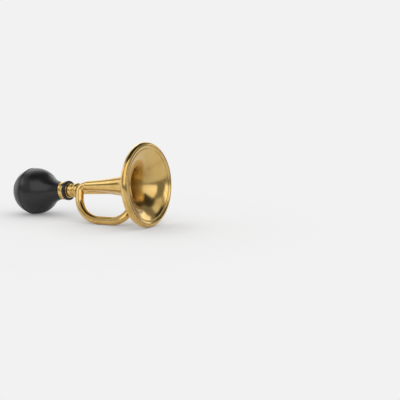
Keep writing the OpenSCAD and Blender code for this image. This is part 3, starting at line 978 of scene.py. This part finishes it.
@dataclass
class FoldedTube(SubAssembly):
    """The tube that folds back under the bell, in its three lengths.

    Attributes:
        sides: points in each ring.
        step: largest turn between stations in a bend, in radians.
    """

    sides: int = 64
    step: float = math.radians(2.5)

    def _corners(self) -> dict[str, Array]:
        """Place the corners that the tube runs between, from the bulb to the bell.

        Returns:
            Each corner's place, by name.
        """
        tube, bell, pose = self.sizes.tube, self.sizes.bell, self.pose

        def low(x: float, y: float) -> Array:
            """A corner where the tube rests on the table."""
            return np.array([x, y, pose.table_z(x, y, tube.radius)])

        return {
            "pipe_end": np.array([self.sizes.collar.pipe_end_x, *self.sizes.lead_axis]),
            "sweep": np.array([-tube.sweep_back, *self.sizes.lead_axis]),
            "back": np.array([-tube.fold_front, tube.fold_top_side, -tube.fold_top_drop]),
            "right": low(-tube.fold_low_front, tube.fold_low_side),
            "left": low(-tube.fold_low_back, -tube.fold_lean),
            "tail": np.array([-tube.fold_back, 0.0, 0.0]),
            "tail_end": np.array([-bell.length + bell.socket, 0.0, 0.0]),
        }

    def build(self) -> None:
        """Make the two bows and the lead pipe."""
        tube, corners = self.sizes.tube, self._corners()
        radii = {"sweep": tube.bend_sweep, "back": tube.bend_back, "right": tube.bend_right,
                 "left": tube.bend_left, "tail": tube.bend_tail}
        names, places = list(corners), list(corners.values())
        sweep, back, right, left, tail = (
            bend_line(*places[k - 1:k + 2], radii[names[k]], self.step)
            for k in range(1, len(places) - 1))
        inward = np.array([FIT, 0.0, 0.0])
        # The lengths meet halfway between two bends
        lead_joint = station((sweep[0][-1] + back[0][0]) / 2, back[1][0])
        bow_joint = station((right[0][-1] + left[0][0]) / 2, left[1][0])
        runs = {
            "lead_pipe": joined(station(places[0] + inward, inward), sweep, lead_joint),
            "right_bow": joined(lead_joint, back, right, bow_joint),
            "left_bow": joined(bow_joint, left, tail, station(places[-1] - inward, inward)),
        }
        for node, line in runs.items():
            self.dress("drawn_" + node, hollow_tube(line, tube.radius, tube.bore_r, self.sides),
                       Body.HORN, Slot.BRASS, Finish.DRAWN, node)


@dataclass
class Collar(SubAssembly):
    """The end bead, the reed socket and the coupling nut.

    Attributes:
        sides: points in each ring.
        crown_points: points over the bead's crown.
        longest: longest side of a section after it is split, in millimetres.
        bead_soft: how far the bead's corners are rounded, in millimetres.
        socket_soft: the same for the socket.
        nut_soft: the same for the nut.
    """

    sides: int = 160
    crown_points: int = 33
    longest: float = 0.8
    bead_soft: float = 0.08
    socket_soft: float = 0.12
    nut_soft: float = 0.5

    def _rings(self, section: list | Array, soft: float) -> Array:
        """Turn a closed section with softened corners round the bulb's axis."""
        fine = refined(rounded(np.array(section), soft), self.longest)
        return turned(fine, self.sizes.lead_axis, self.sides)

    def _crown(self, wall: float) -> Array:
        """Work out the bead's crown, less a wall.

        With t from -1 to 1 across the bead, the radius is the groove's, plus the bead's
        height over the groove times the root of 1 - t^2, less the wall.

        Args:
            wall: how far inside the bead's outside it lies, in millimetres.

        Returns:
            Points of (x, radius), from the bulb side to the bell side.
        """
        c = self.sizes.collar
        t = np.linspace(-1, 1, self.crown_points)
        rise = (c.bead_d - c.groove_d) / 2
        x = c.bead_x + wall + (c.bead_len - 2 * wall) * (t + 1) / 2
        return np.stack([x, c.groove_d / 2 + rise * np.sqrt(1 - t**2) - wall], -1)

    def bead(self) -> None:
        """Make the hollow bead, which sits on the socket's tail."""
        c = self.sizes.collar
        seat = self.sizes.tube.seat_r + c.tail_wall + FIT
        crown, inside = self._crown(0.0), self._crown(c.bead_wall)
        section = np.vstack([[[crown[0, 0], seat]], crown, [[crown[-1, 0], seat]],
                             [[inside[-1, 0], seat]], inside[::-1], [[inside[0, 0], seat]]])
        self.dress("turned_end_bead", self._rings(section, self.bead_soft), Body.HORN,
                   Slot.BRASS, Finish.LATHE, "end_bead")

    def socket(self) -> None:
        """Make the reed socket: thread, plain neck, groove and the tail that takes the pipe."""
        c, tube = self.sizes.collar, self.sizes.tube
        tail_r, tail_x = tube.seat_r + c.tail_wall, c.bead_x + c.bead_len - c.edge
        thread_r, neck_r, groove_r = c.thread_d / 2, c.neck_d / 2, c.groove_d / 2
        thread_x, block_x = c.nut_x - c.thread_short, c.mouth_x + c.block_len + FIT
        reed_r = c.reed_bore_d / 2 + FIT
        section = [
            [c.mouth_x, reed_r], [c.mouth_x, thread_r - c.edge],
            [c.mouth_x + c.edge, thread_r], [thread_x, thread_r],
            [thread_x, neck_r], [c.groove_x - c.edge, neck_r],
            [c.groove_x, neck_r - c.edge], [c.groove_x, groove_r],
            [c.bead_x, groove_r], [c.bead_x, tail_r],
            [tail_x, tail_r], [tail_x, tube.seat_r],
            [c.pipe_end_x, tube.seat_r], [c.pipe_end_x, tube.bore_r],
            [block_x, c.reed_bore_d / 2 - 1], [block_x, reed_r]]
        self.dress("turned_reed_socket", self._rings(section, self.socket_soft), Body.HORN,
                   Slot.BRASS, Finish.LATHE, "reed_socket")

    def nut(self) -> None:
        """Make the coupling nut, with the hole for the stem in its back."""
        c = self.sizes.collar
        hole, outside = self.sizes.bulb.stem_d / 2 + FREE, c.nut_d / 2
        bore, lip_x = c.thread_d / 2 + FIT, c.nut_back_x + c.nut_lip
        section = [
            [c.nut_back_x, hole], [c.nut_back_x, outside - c.nut_edge],
            [c.nut_back_x + c.nut_edge, outside], [c.nut_x - c.nut_edge, outside],
            [c.nut_x, outside - c.nut_edge], [c.nut_x, bore],
            [lip_x, bore], [lip_x, hole]]
        self.dress("moulded_coupling_nut", self._rings(section, self.nut_soft), Body.NUT,
                   Slot.PLASTIC, Finish.PLASTIC, "coupling_nut")

    def build(self) -> None:
        """Make the three pieces."""
        self.bead()
        self.socket()
        self.nut()


@dataclass
class RubberBulb(SubAssembly):
    """The rubber bulb in its two halves, and the ferrule on its neck.

    Attributes:
        sides: points in each ring.
        steps: points along each arc of the bulb.
        crown_points: points over the ferrule's crown.
        seam_points: points round the seam's bead.
        seam_turn: how far the seam's bead runs round, in radians.
    """

    sides: int = 192
    steps: int = 48
    crown_points: int = 25
    seam_points: int = 15
    seam_turn: float = math.radians(170)

    def _crown(self, inset: float) -> Array:
        """Work out the ferrule's crown, less an inset.

        With s from 0 to 1 along the ferrule, the radius is its edge's, plus its rise times
        the root of sin(pi s), less the inset.

        Args:
            inset: how far inside the ferrule's outside it lies, in millimetres.

        Returns:
            Points of (x, radius), from the bulb side to the bell side.
        """
        bulb = self.sizes.bulb
        edge = bulb.neck_d / 2 - bulb.ferrule_wall
        s = np.linspace(0, 1, self.crown_points)
        rise = np.sqrt(np.maximum(np.sin(math.pi * s), 0))
        radius = edge + (bulb.ferrule_d / 2 - edge) * rise - inset
        return np.stack([self.sizes.ferrule_back_x + bulb.ferrule_len * s, radius], -1)

    def ferrule(self) -> None:
        """Make the crimped ring."""
        section = np.vstack([self._crown(0), self._crown(self.sizes.bulb.ferrule_wall)[::-1]])
        self.dress("crimped_ferrule", turned(section, self.sizes.lead_axis, self.sides),
                   Body.BULB_UNIT, Slot.BRASS, Finish.LATHE, "bulb_ferrule", sharp=60)

    def front(self) -> None:
        """Make the front half: a ball that runs into its neck by a hollow curve.

        The hollow curve is an arc that is tangent to the ball and meets the neck. Its centre
        lies at the ball's radius plus its own from the ball's middle, at the angle that the
        cosine rule gives for the triangle of ball, neck and centre.
        """
        s, bulb = self.sizes, self.sizes.bulb
        r_out, r_in = bulb.radius, bulb.radius - bulb.wall
        neck = np.array([s.ferrule_back_x - s.bulb_x - FIT, bulb.neck_d / 2])
        reach, far = r_out + bulb.neck_curve, float(np.hypot(*neck))
        share = (reach**2 + far**2 - bulb.neck_curve**2) / (2 * reach * far)
        out_a = math.atan2(neck[1], neck[0]) + math.acos(share)
        hollow = reach * np.array([math.cos(out_a), math.sin(out_a)])
        end_a = math.atan2(hollow[1] - neck[1], hollow[0] - neck[0])
        seam_out, seam_in = (math.acos(-bulb.seam_behind / r) for r in (r_out, r_in))
        bore = np.array([s.ferrule_back_x - bulb.stem_reach - s.bulb_x, bulb.stem_d / 2 + FIT])
        in_a = math.atan2(bore[1], bore[0]) + math.acos(r_in / float(np.hypot(*bore)))
        shoulder = hollow - arc(bulb.neck_curve, out_a, end_a, self.steps)[1:]
        pressed = self._crown(bulb.ferrule_wall + FIT)[:-1] - [s.bulb_x, 0]
        end_x = s.ferrule_x - bulb.neck_short - s.bulb_x
        tip = [[end_x, pressed[0, 1]], [end_x, bore[1]], bore]
        section = np.vstack([arc(r_out, seam_out, out_a, self.steps), shoulder, pressed, tip,
                             arc(r_in, in_a, seam_in, self.steps)]) + [s.bulb_x, 0]
        piece = self.dress("rubber_bulb_front", turned(section, s.lead_axis, self.sides),
                           Body.BULB_UNIT, Slot.RUBBER, Finish.RUBBER, "bulb_front")
        fixed = self.pose.place(np.array([s.ferrule_back_x, *s.lead_axis]))
        ahead = self.pose.place(np.array([s.ferrule_back_x + 10, *s.lead_axis])) - fixed
        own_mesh(piece)

    def rear(self) -> None:
        """Make the rear half, from the outer pole round the seam to the inner pole."""
        s, bulb = self.sizes, self.sizes.bulb
        r_out, r_in = bulb.radius, bulb.radius - bulb.wall
        edge = s.seam_x - FIT - s.bulb_x
        bead_x = edge - bulb.seam_r
        out_a, in_a = math.acos((bead_x - bulb.seam_r) / r_out), math.acos(edge / r_in)
        seam = [bead_x, bulb.seam_ring_r] + arc(bulb.seam_r, 0, self.seam_turn, self.seam_points)
        outside = arc(r_out, out_a, math.pi, self.steps)[:-1]
        inside = arc(r_in, math.pi, in_a, self.steps)[1:]
        section = np.vstack([outside[::-1], seam[::-1], inside[::-1]]) + [s.bulb_x, 0]
        self.dress("rubber_bulb_rear", turned(section, s.lead_axis, self.sides),
                   Body.BULB_BACK, Slot.RUBBER, Finish.RUBBER, "bulb_rear", capped=True)

    def build(self) -> None:
        """Make the bulb's pieces."""
        self.ferrule()
        self.front()
        self.rear()


@dataclass
class InnerParts:
    """The solids that keep their own meshes: reed, stem, wire, sleeves and solder."""

    materials: dict[Finish, bpy.types.Material]

    def build(self) -> None:
        """Give each of them the finish of its own process."""
        chosen = {
            "rim_wire": Finish.STEEL, "bow_sleeve": Finish.INNER, "lead_sleeve": Finish.INNER,
            "solder_saddles": Finish.SOLDER, "reed_block": Finish.PLASTIC,
            "shallot": Finish.INNER, "reed_wedge": Finish.INNER, "reed_tongue": Finish.SPRING,
            "sealing_washer": Finish.RUBBER, "bulb_stem": Finish.INNER}
        for node, finish in chosen.items():
            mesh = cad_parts[node].data
            mesh.materials.clear()
            mesh.materials.append(self.materials[finish])
            LOG.info("%s: %s", node, finish.value.name)


# Studio


@dataclass(frozen=True)
class SoftBox:
    """A soft bright or dark panel in the room that the metal mirrors.

    Attributes:
        azimuth: its direction round the horn, in degrees from X towards Y.
        elevation: its height over the horizon, in degrees.
        width: its width, in degrees.
        height: its height, in degrees.
        light: how bright it is, where 1 is white.
        edge: width of its soft edge, in degrees.
    """

    azimuth: float
    elevation: float
    width: float
    height: float
    light: float
    edge: float


@dataclass
class Studio:
    """Camera, floor, lamp and the room that the metal mirrors. Lengths are in metres.

    Attributes:
        pose: how the horn lies.
        backdrop: colour of the backdrop.
        floor_colour: colour of the floor.
        floor_mirrored: its colour in the metal, ahead of the bell.
        ahead: where along X that second colour comes in.
        floor_half: half the floor's side.
        floor_cells: faces along the floor's side.
        fade: how far from the horn the floor fades into the backdrop.
        shadow_lift: share of the floor's shade that the occlusion gives, near the horn.
        shadow_reach: how far away a surface still shades the floor.
        shadow_level: light on the floor where a surface closes it off.
        camera_turn: the camera's direction, in degrees from -Y towards X.
        camera_rise: how far the camera looks down, in degrees.
        camera_height: the camera's height over the table.
        rim_left: how far the rim's centre lies left of the middle of the view.
        rim_away: how far the rim's centre lies from the camera, over the table.
        fill: strength of the even light.
        lamp_size: sides of the soft lamp.
        lamp_power: its power, in watts.
        lamp_place: its place, behind the horn, above and left in the view.
        lamp_aim: the point that it shines at.
        walls: light of the room by height, from straight down at 0 to straight up at 1.
        boxes: the panels in the room.
    """

    pose: RestPose
    backdrop: str = "#F2F2F2"
    floor_colour: str = "#F0F0F0"
    floor_mirrored: str = "#D8D8D8"
    ahead: tuple[float, float] = (0.08, 0.13)
    floor_half: float = 0.8
    floor_cells: int = 8
    fade: tuple[float, float] = (0.12, 0.3)
    shadow_lift: float = 0.6
    shadow_reach: float = 0.09
    shadow_level: float = 0.33
    camera_turn: float = 29.72
    camera_rise: float = 8.01
    camera_height: float = 0.146
    rim_left: float = 0.0554
    rim_away: float = 0.8327
    fill: float = 0.95
    lamp_size: tuple[float, float] = (0.7, 0.5)
    lamp_power: float = 0.6
    lamp_place: tuple[float, float, float] = (-0.45, 0.35, 0.8)
    lamp_aim: tuple[float, float, float] = (0.0, 0.0, 0.03)
    walls: tuple[tuple[float, float], ...] = (
        (0.44, 0.7), (0.475, 0.24), (0.53, 0.22), (0.57, 0.46), (0.8, 0.5), (1.0, 0.45))
    boxes: tuple[SoftBox, ...] = (
        # A bright wall opposite the camera
        SoftBox(128, 24, 44, 44, 1.15, 10),
        # The dark ceiling, ahead of the bell and over it
        SoftBox(28, 64, 90, 46, 0.04, 10),
        SoftBox(0, 89, 46, 46, 0.02, 9),
        # Dim panels ahead of the bell
        SoftBox(6, 20, 36, 30, 0.22, 9),
        SoftBox(60, 24, 40, 20, 0.22, 9),
        # The large bright panel behind the camera
        SoftBox(-46, 34, 62, 46, 1.25, 5),
        # Small bright panels ahead of the bell, with a dark one among them
        SoftBox(30, 28, 20, 10, 0.75, 9),
        SoftBox(24, 8, 14, 9, 1.35, 3),
        SoftBox(41, 15, 15, 10, 0.0, 3),
        SoftBox(70, 13, 15, 7, 1.35, 4),
        # Bright and dim strips behind the bulb
        SoftBox(-152, -1, 40, 8, 0.8, 3),
        SoftBox(-152, 31, 34, 12, 1.4, 5),
        SoftBox(-148, 13, 34, 8, 0.2, 4),
        SoftBox(168, 42, 20, 10, 0.25, 5),
        SoftBox(-176, 8, 30, 16, 1.3, 6),
    )

    def camera(self) -> None:
        """Set up the camera that took the photograph: 72 mm on a 36 mm wide frame."""
        data = bpy.data.cameras.new("photo_camera")
        data.lens, data.sensor_width = 72.0, 36.0
        data.clip_start, data.clip_end = 0.01, 30.0
        camera = bpy.data.objects.new("photo_camera", data)
        bpy.context.scene.collection.objects.link(camera)
        a, e = math.radians(self.camera_turn), math.radians(self.camera_rise)
        rim = self.pose.place(np.zeros(3))
        camera.location = Vector((
            rim[0] + self.rim_left * math.cos(a) + self.rim_away * math.sin(a),
            rim[1] + self.rim_left * math.sin(a) - self.rim_away * math.cos(a),
            self.camera_height))
        back = Vector((math.sin(a) * math.cos(e), -math.cos(a) * math.cos(e), math.sin(e)))
        camera.rotation_mode = "QUATERNION"
        camera.rotation_quaternion = (-back).to_track_quat("-Z", "Y")
        bpy.context.scene.camera = camera

    def floor(self) -> None:
        """Lay the floor: a flat grid, with face (i, j) between rows i, i + 1 and j, j + 1."""
        cells, across = self.floor_cells, self.floor_cells + 1
        line = np.linspace(-self.floor_half, self.floor_half, across)
        x, y = np.meshgrid(line, line, indexing="ij")
        points = np.stack([x, y, np.zeros_like(x)], -1).reshape(-1, 3)
        i, j = np.meshgrid(np.arange(cells), np.arange(cells), indexing="ij")
        start = (i * across + j).reshape(-1)
        faces = np.stack([start, start + across, start + across + 1, start + 1], -1)
        mesh = bpy.data.meshes.new("studio_floor")
        mesh.from_pydata(points.tolist(), [], faces.tolist())
        mesh.materials.append(self._floor_material())
        floor = bpy.data.objects.new("studio_floor", mesh)
        bpy.context.scene.collection.objects.link(floor)

    def _floor_material(self) -> bpy.types.Material:
        """Make the pale floor's material, which fades into the backdrop away from the horn.

        Returns:
            The material.
        """
        material, tree, shader = new_material("pale_studio_floor", {
            "Roughness": 0.6, "Specular IOR Level": 0.0})
        path = add_node(tree, "ShaderNodeLightPath")
        place = add_node(tree, "ShaderNodeTexCoord").outputs["Object"]
        along = add_node(tree, "ShaderNodeSeparateXYZ", inputs={0: place})
        ahead = add_node(tree, "ShaderNodeMapRange", SMOOTH_STEP, {
            0: along.outputs["X"], 1: self.ahead[0], 2: self.ahead[1]})
        mirrored = add_node(tree, "ShaderNodeMath", {"operation": "MULTIPLY"}, {
            0: ahead.outputs[0], 1: path.outputs["Is Glossy Ray"]})
        colour = add_node(tree, "ShaderNodeMix", OF_COLOURS, {
            0: mirrored.outputs[0], 6: linear(self.floor_colour),
            7: linear(self.floor_mirrored)})
        tree.links.new(colour.outputs[2], shader.inputs["Base Color"])
        far = add_node(tree, "ShaderNodeVectorMath", {"operation": "LENGTH"}, {0: place})
        fade = add_node(tree, "ShaderNodeMapRange", SMOOTH_STEP, {
            0: far.outputs["Value"], 1: self.fade[0], 2: self.fade[1]})
        # The photograph's shadow is a plain grey, so part of it comes from how open the spot is
        open_sky = add_node(tree, "ShaderNodeAmbientOcclusion", {"samples": 16}, {
            "Distance": self.shadow_reach})
        shade = add_node(tree, "ShaderNodeMapRange", inputs={
            0: open_sky.outputs["AO"], 3: self.shadow_level, 4: 1.0})
        backdrop = add_node(tree, "ShaderNodeEmission", inputs={
            "Color": linear(self.backdrop), "Strength": shade.outputs[0]})
        lift = add_node(tree, "ShaderNodeMath", {"operation": "MAXIMUM"}, {
            0: fade.outputs[0], 1: self.shadow_lift})
        seen = add_node(tree, "ShaderNodeMath", {"operation": "MULTIPLY"}, {
            0: lift.outputs[0], 1: path.outputs["Is Camera Ray"]})
        both = add_node(tree, "ShaderNodeMixShader", inputs={
            0: seen.outputs[0], 1: shader.outputs[0], 2: backdrop.outputs[0]})
        out = next(node for node in tree.nodes if node.type == "OUTPUT_MATERIAL")
        tree.links.new(both.outputs[0], out.inputs["Surface"])
        return material

    def _panel(self, tree: bpy.types.NodeTree, way: bpy.types.NodeSocket,
               box: SoftBox) -> bpy.types.NodeSocket:
        """Work out how much of a panel is seen in a direction.

        The direction is split into its share towards the panel and its shares across and up;
        each of the last two, over the first, is compared with the panel's half size.

        Args:
            tree: the world's node tree.
            way: the direction.
            box: the panel.

        Returns:
            The share that is seen, from 0 to 1.
        """
        a, e = math.radians(box.azimuth), math.radians(box.elevation)
        towards = (math.cos(a) * math.cos(e), math.sin(a) * math.cos(e), math.sin(e))
        across = (-math.sin(a), math.cos(a), 0.0)
        upward = (-math.cos(a) * math.sin(e), -math.sin(a) * math.sin(e), math.cos(e))
        front, side, height = (
            add_node(tree, "ShaderNodeVectorMath", {"operation": "DOT_PRODUCT"}, {
                0: way, 1: axis}).outputs["Value"] for axis in (towards, across, upward))
        # What lies behind the panel's own half of the room is left out
        seen = add_node(tree, "ShaderNodeMath", {"operation": "GREATER_THAN"}, {
            0: front, 1: 0.02}).outputs[0]
        for part, size in ((side, box.width), (height, box.height)):
            ratio = add_node(tree, "ShaderNodeMath", {"operation": "DIVIDE"}, {
                0: part, 1: front})
            off = add_node(tree, "ShaderNodeMath", {"operation": "ABSOLUTE"}, {
                0: ratio.outputs[0]})
            inside = math.tan(math.radians(size / 2))
            outside = math.tan(math.radians(size / 2 + box.edge))
            mask = add_node(tree, "ShaderNodeMapRange", SMOOTH_STEP, {
                0: off.outputs[0], 1: inside, 2: outside, 3: 1.0, 4: 0.0})
            seen = add_node(tree, "ShaderNodeMath", {"operation": "MULTIPLY"}, {
                0: seen, 1: mask.outputs[0]}).outputs[0]
        return seen

    def world(self) -> None:
        """Set up the room: plain backdrop, even light, and what the metal mirrors."""
        world = bpy.data.worlds.new("photo_studio")
        bpy.context.scene.world = world
        world.use_nodes = True
        tree = world.node_tree
        tree.nodes.clear()
        way = add_node(tree, "ShaderNodeTexCoord").outputs["Generated"]
        height = add_node(tree, "ShaderNodeSeparateXYZ", inputs={0: way}).outputs["Z"]
        level = add_node(tree, "ShaderNodeMapRange", inputs={0: height, 1: -1.0, 2: 1.0})
        walls = add_node(tree, "ShaderNodeValToRGB", inputs={"Fac": level.outputs[0]})
        walls.color_ramp.interpolation = "EASE"
        stops = walls.color_ramp.elements
        while len(stops) < len(self.walls):
            stops.new(0.5)
        for stop, (place, light) in zip(stops, self.walls):
            stop.position = place
            stop.color = grey(light)
        room = walls.outputs["Color"]
        for box in self.boxes:
            room = add_node(tree, "ShaderNodeMix", OF_COLOURS, {
                0: self._panel(tree, way, box), 6: room, 7: grey(box.light)}).outputs[2]
        path = add_node(tree, "ShaderNodeLightPath")
        mirrored = add_node(tree, "ShaderNodeBackground", inputs={"Color": room})
        even = add_node(tree, "ShaderNodeBackground", inputs={
            "Color": grey(1.0), "Strength": self.fill})
        seen = add_node(tree, "ShaderNodeBackground", inputs={"Color": linear(self.backdrop)})
        lit = add_node(tree, "ShaderNodeMixShader", inputs={
            0: path.outputs["Is Glossy Ray"], 1: even.outputs[0], 2: mirrored.outputs[0]})
        both = add_node(tree, "ShaderNodeMixShader", inputs={
            0: path.outputs["Is Camera Ray"], 1: lit.outputs[0], 2: seen.outputs[0]})
        add_node(tree, "ShaderNodeOutputWorld", inputs={"Surface": both.outputs[0]})

    def lamp(self) -> None:
        """Hang the large soft lamp."""
        data = bpy.data.lights.new("soft_key", "AREA")
        data.shape = "RECTANGLE"
        data.size, data.size_y = self.lamp_size
        data.energy = self.lamp_power
        lamp = bpy.data.objects.new("soft_key", data)
        lamp.location = self.lamp_place
        lamp.rotation_mode = "QUATERNION"
        aim = Vector(self.lamp_aim) - Vector(self.lamp_place)
        lamp.rotation_quaternion = aim.to_track_quat("-Z", "Y")
        bpy.context.scene.collection.objects.link(lamp)

    def build(self) -> None:
        """Set up everything that isn't the horn."""
        bpy.context.scene.view_settings.view_transform = "Standard"
        self.camera()
        self.floor()
        self.world()
        self.lamp()


# Run


def main() -> None:
    logging.basicConfig(level=logging.INFO, format="%(name)s %(message)s")
    sizes = HornSizes()
    pose = RestPose.of(sizes)
    LOG.info("tilt %.4f, mid %.4f, rim %.4f", math.degrees(pose.tilt), pose.mid_x,
             pose.rim_height)
    Studio(pose).build()
    materials = {finish: finish.value.build() for finish in Finish}
    for part in (Bell(sizes, pose, materials), FoldedTube(sizes, pose, materials),
                 Collar(sizes, pose, materials), RubberBulb(sizes, pose, materials),
                 InnerParts(materials)):
        part.build()
        LOG.info("%s is built", type(part).__name__)


if __name__ == "__main__":
    main()
